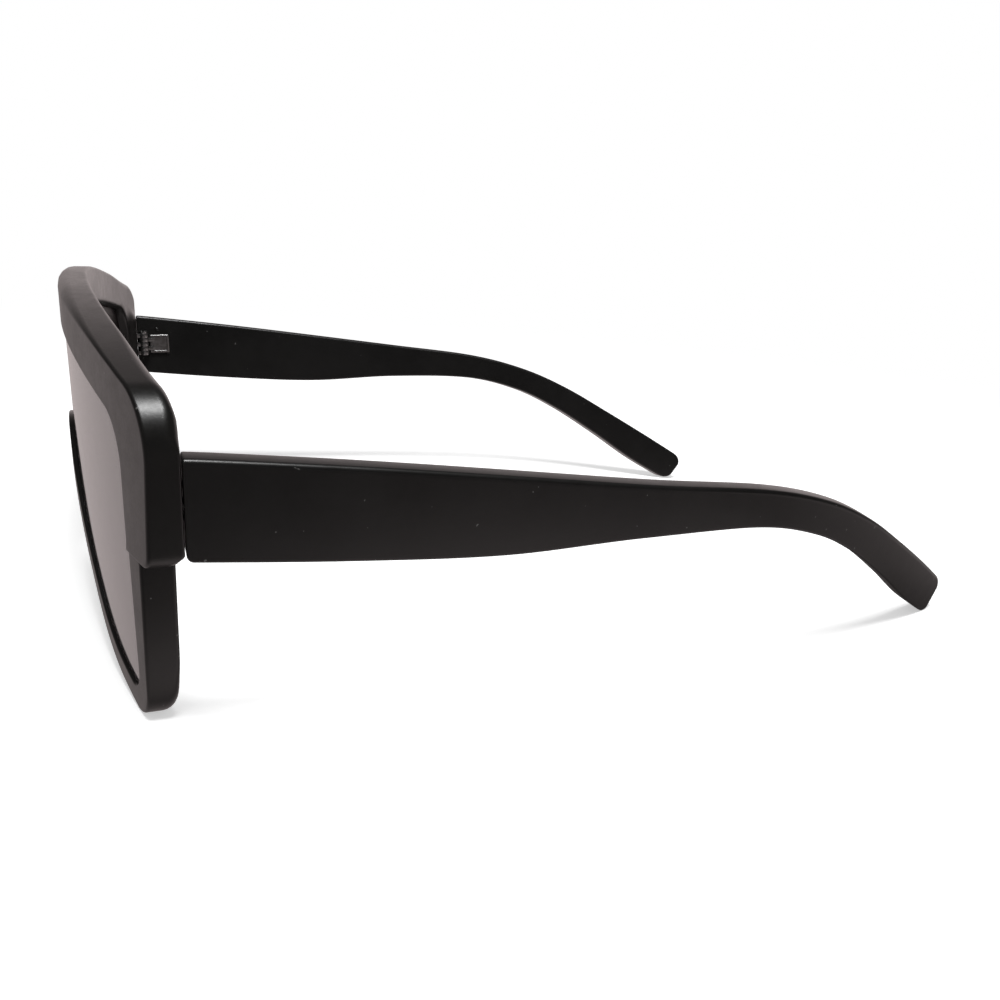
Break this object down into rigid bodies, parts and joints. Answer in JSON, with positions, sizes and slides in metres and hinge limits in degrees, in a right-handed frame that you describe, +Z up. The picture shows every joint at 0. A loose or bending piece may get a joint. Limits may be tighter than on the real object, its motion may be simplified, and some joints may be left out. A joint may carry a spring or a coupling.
{
  "type": "flat-top shield sunglasses",
  "caption": "Flat-top shield sunglasses: a one-piece smoke lens in a matte frame with a brow band and nose arch, and wide tapering temples that fold on barrel hinges.",
  "frame": {"origin": "middle of the footprint, on the surface that the open glasses stand on", "axes": "+X to the wearer's left, -Y out through the lens, +Z up; the rim's lower edge and both temple tips stand on z = 0"},
  "size_m": [0.1412, 0.155, 0.0515],
  "materials": {
    "frame_plastic": "satin black, moulded",
    "temple_plastic": "satin black, moulded",
    "lens": "smoke grey with a light mirror coat",
    "hinge_metal": "dark plated",
    "screw_metal": "dark plated, slotted head"
  },
  "bodies": {
    "front": {"front_frame": "frame_plastic", "shield_lens": "lens", "front_hinge_left": "hinge_metal", "front_hinge_right": "hinge_metal", "hinge_screw_left": "screw_metal", "hinge_screw_right": "screw_metal"},
    "temple_left": {"temple_left": "temple_plastic", "temple_hinge_left": "hinge_metal"},
    "temple_right": {"temple_right": "temple_plastic", "temple_hinge_right": "hinge_metal"}
  },
  "joints": [
    {"name": "temple_left_fold", "type": "hinge", "parent": "front", "child": "temple_left", "pos_m": [0.06537, -0.06154, 0.03035], "axis": [0, -0.0491, 0.9988], "range_deg": [0, 84]},
    {"name": "temple_right_fold", "type": "hinge", "parent": "front", "child": "temple_right", "pos_m": [-0.06537, -0.06154, 0.03035], "axis": [0, 0.0491, -0.9988], "range_deg": [0, 68]}
  ]
}
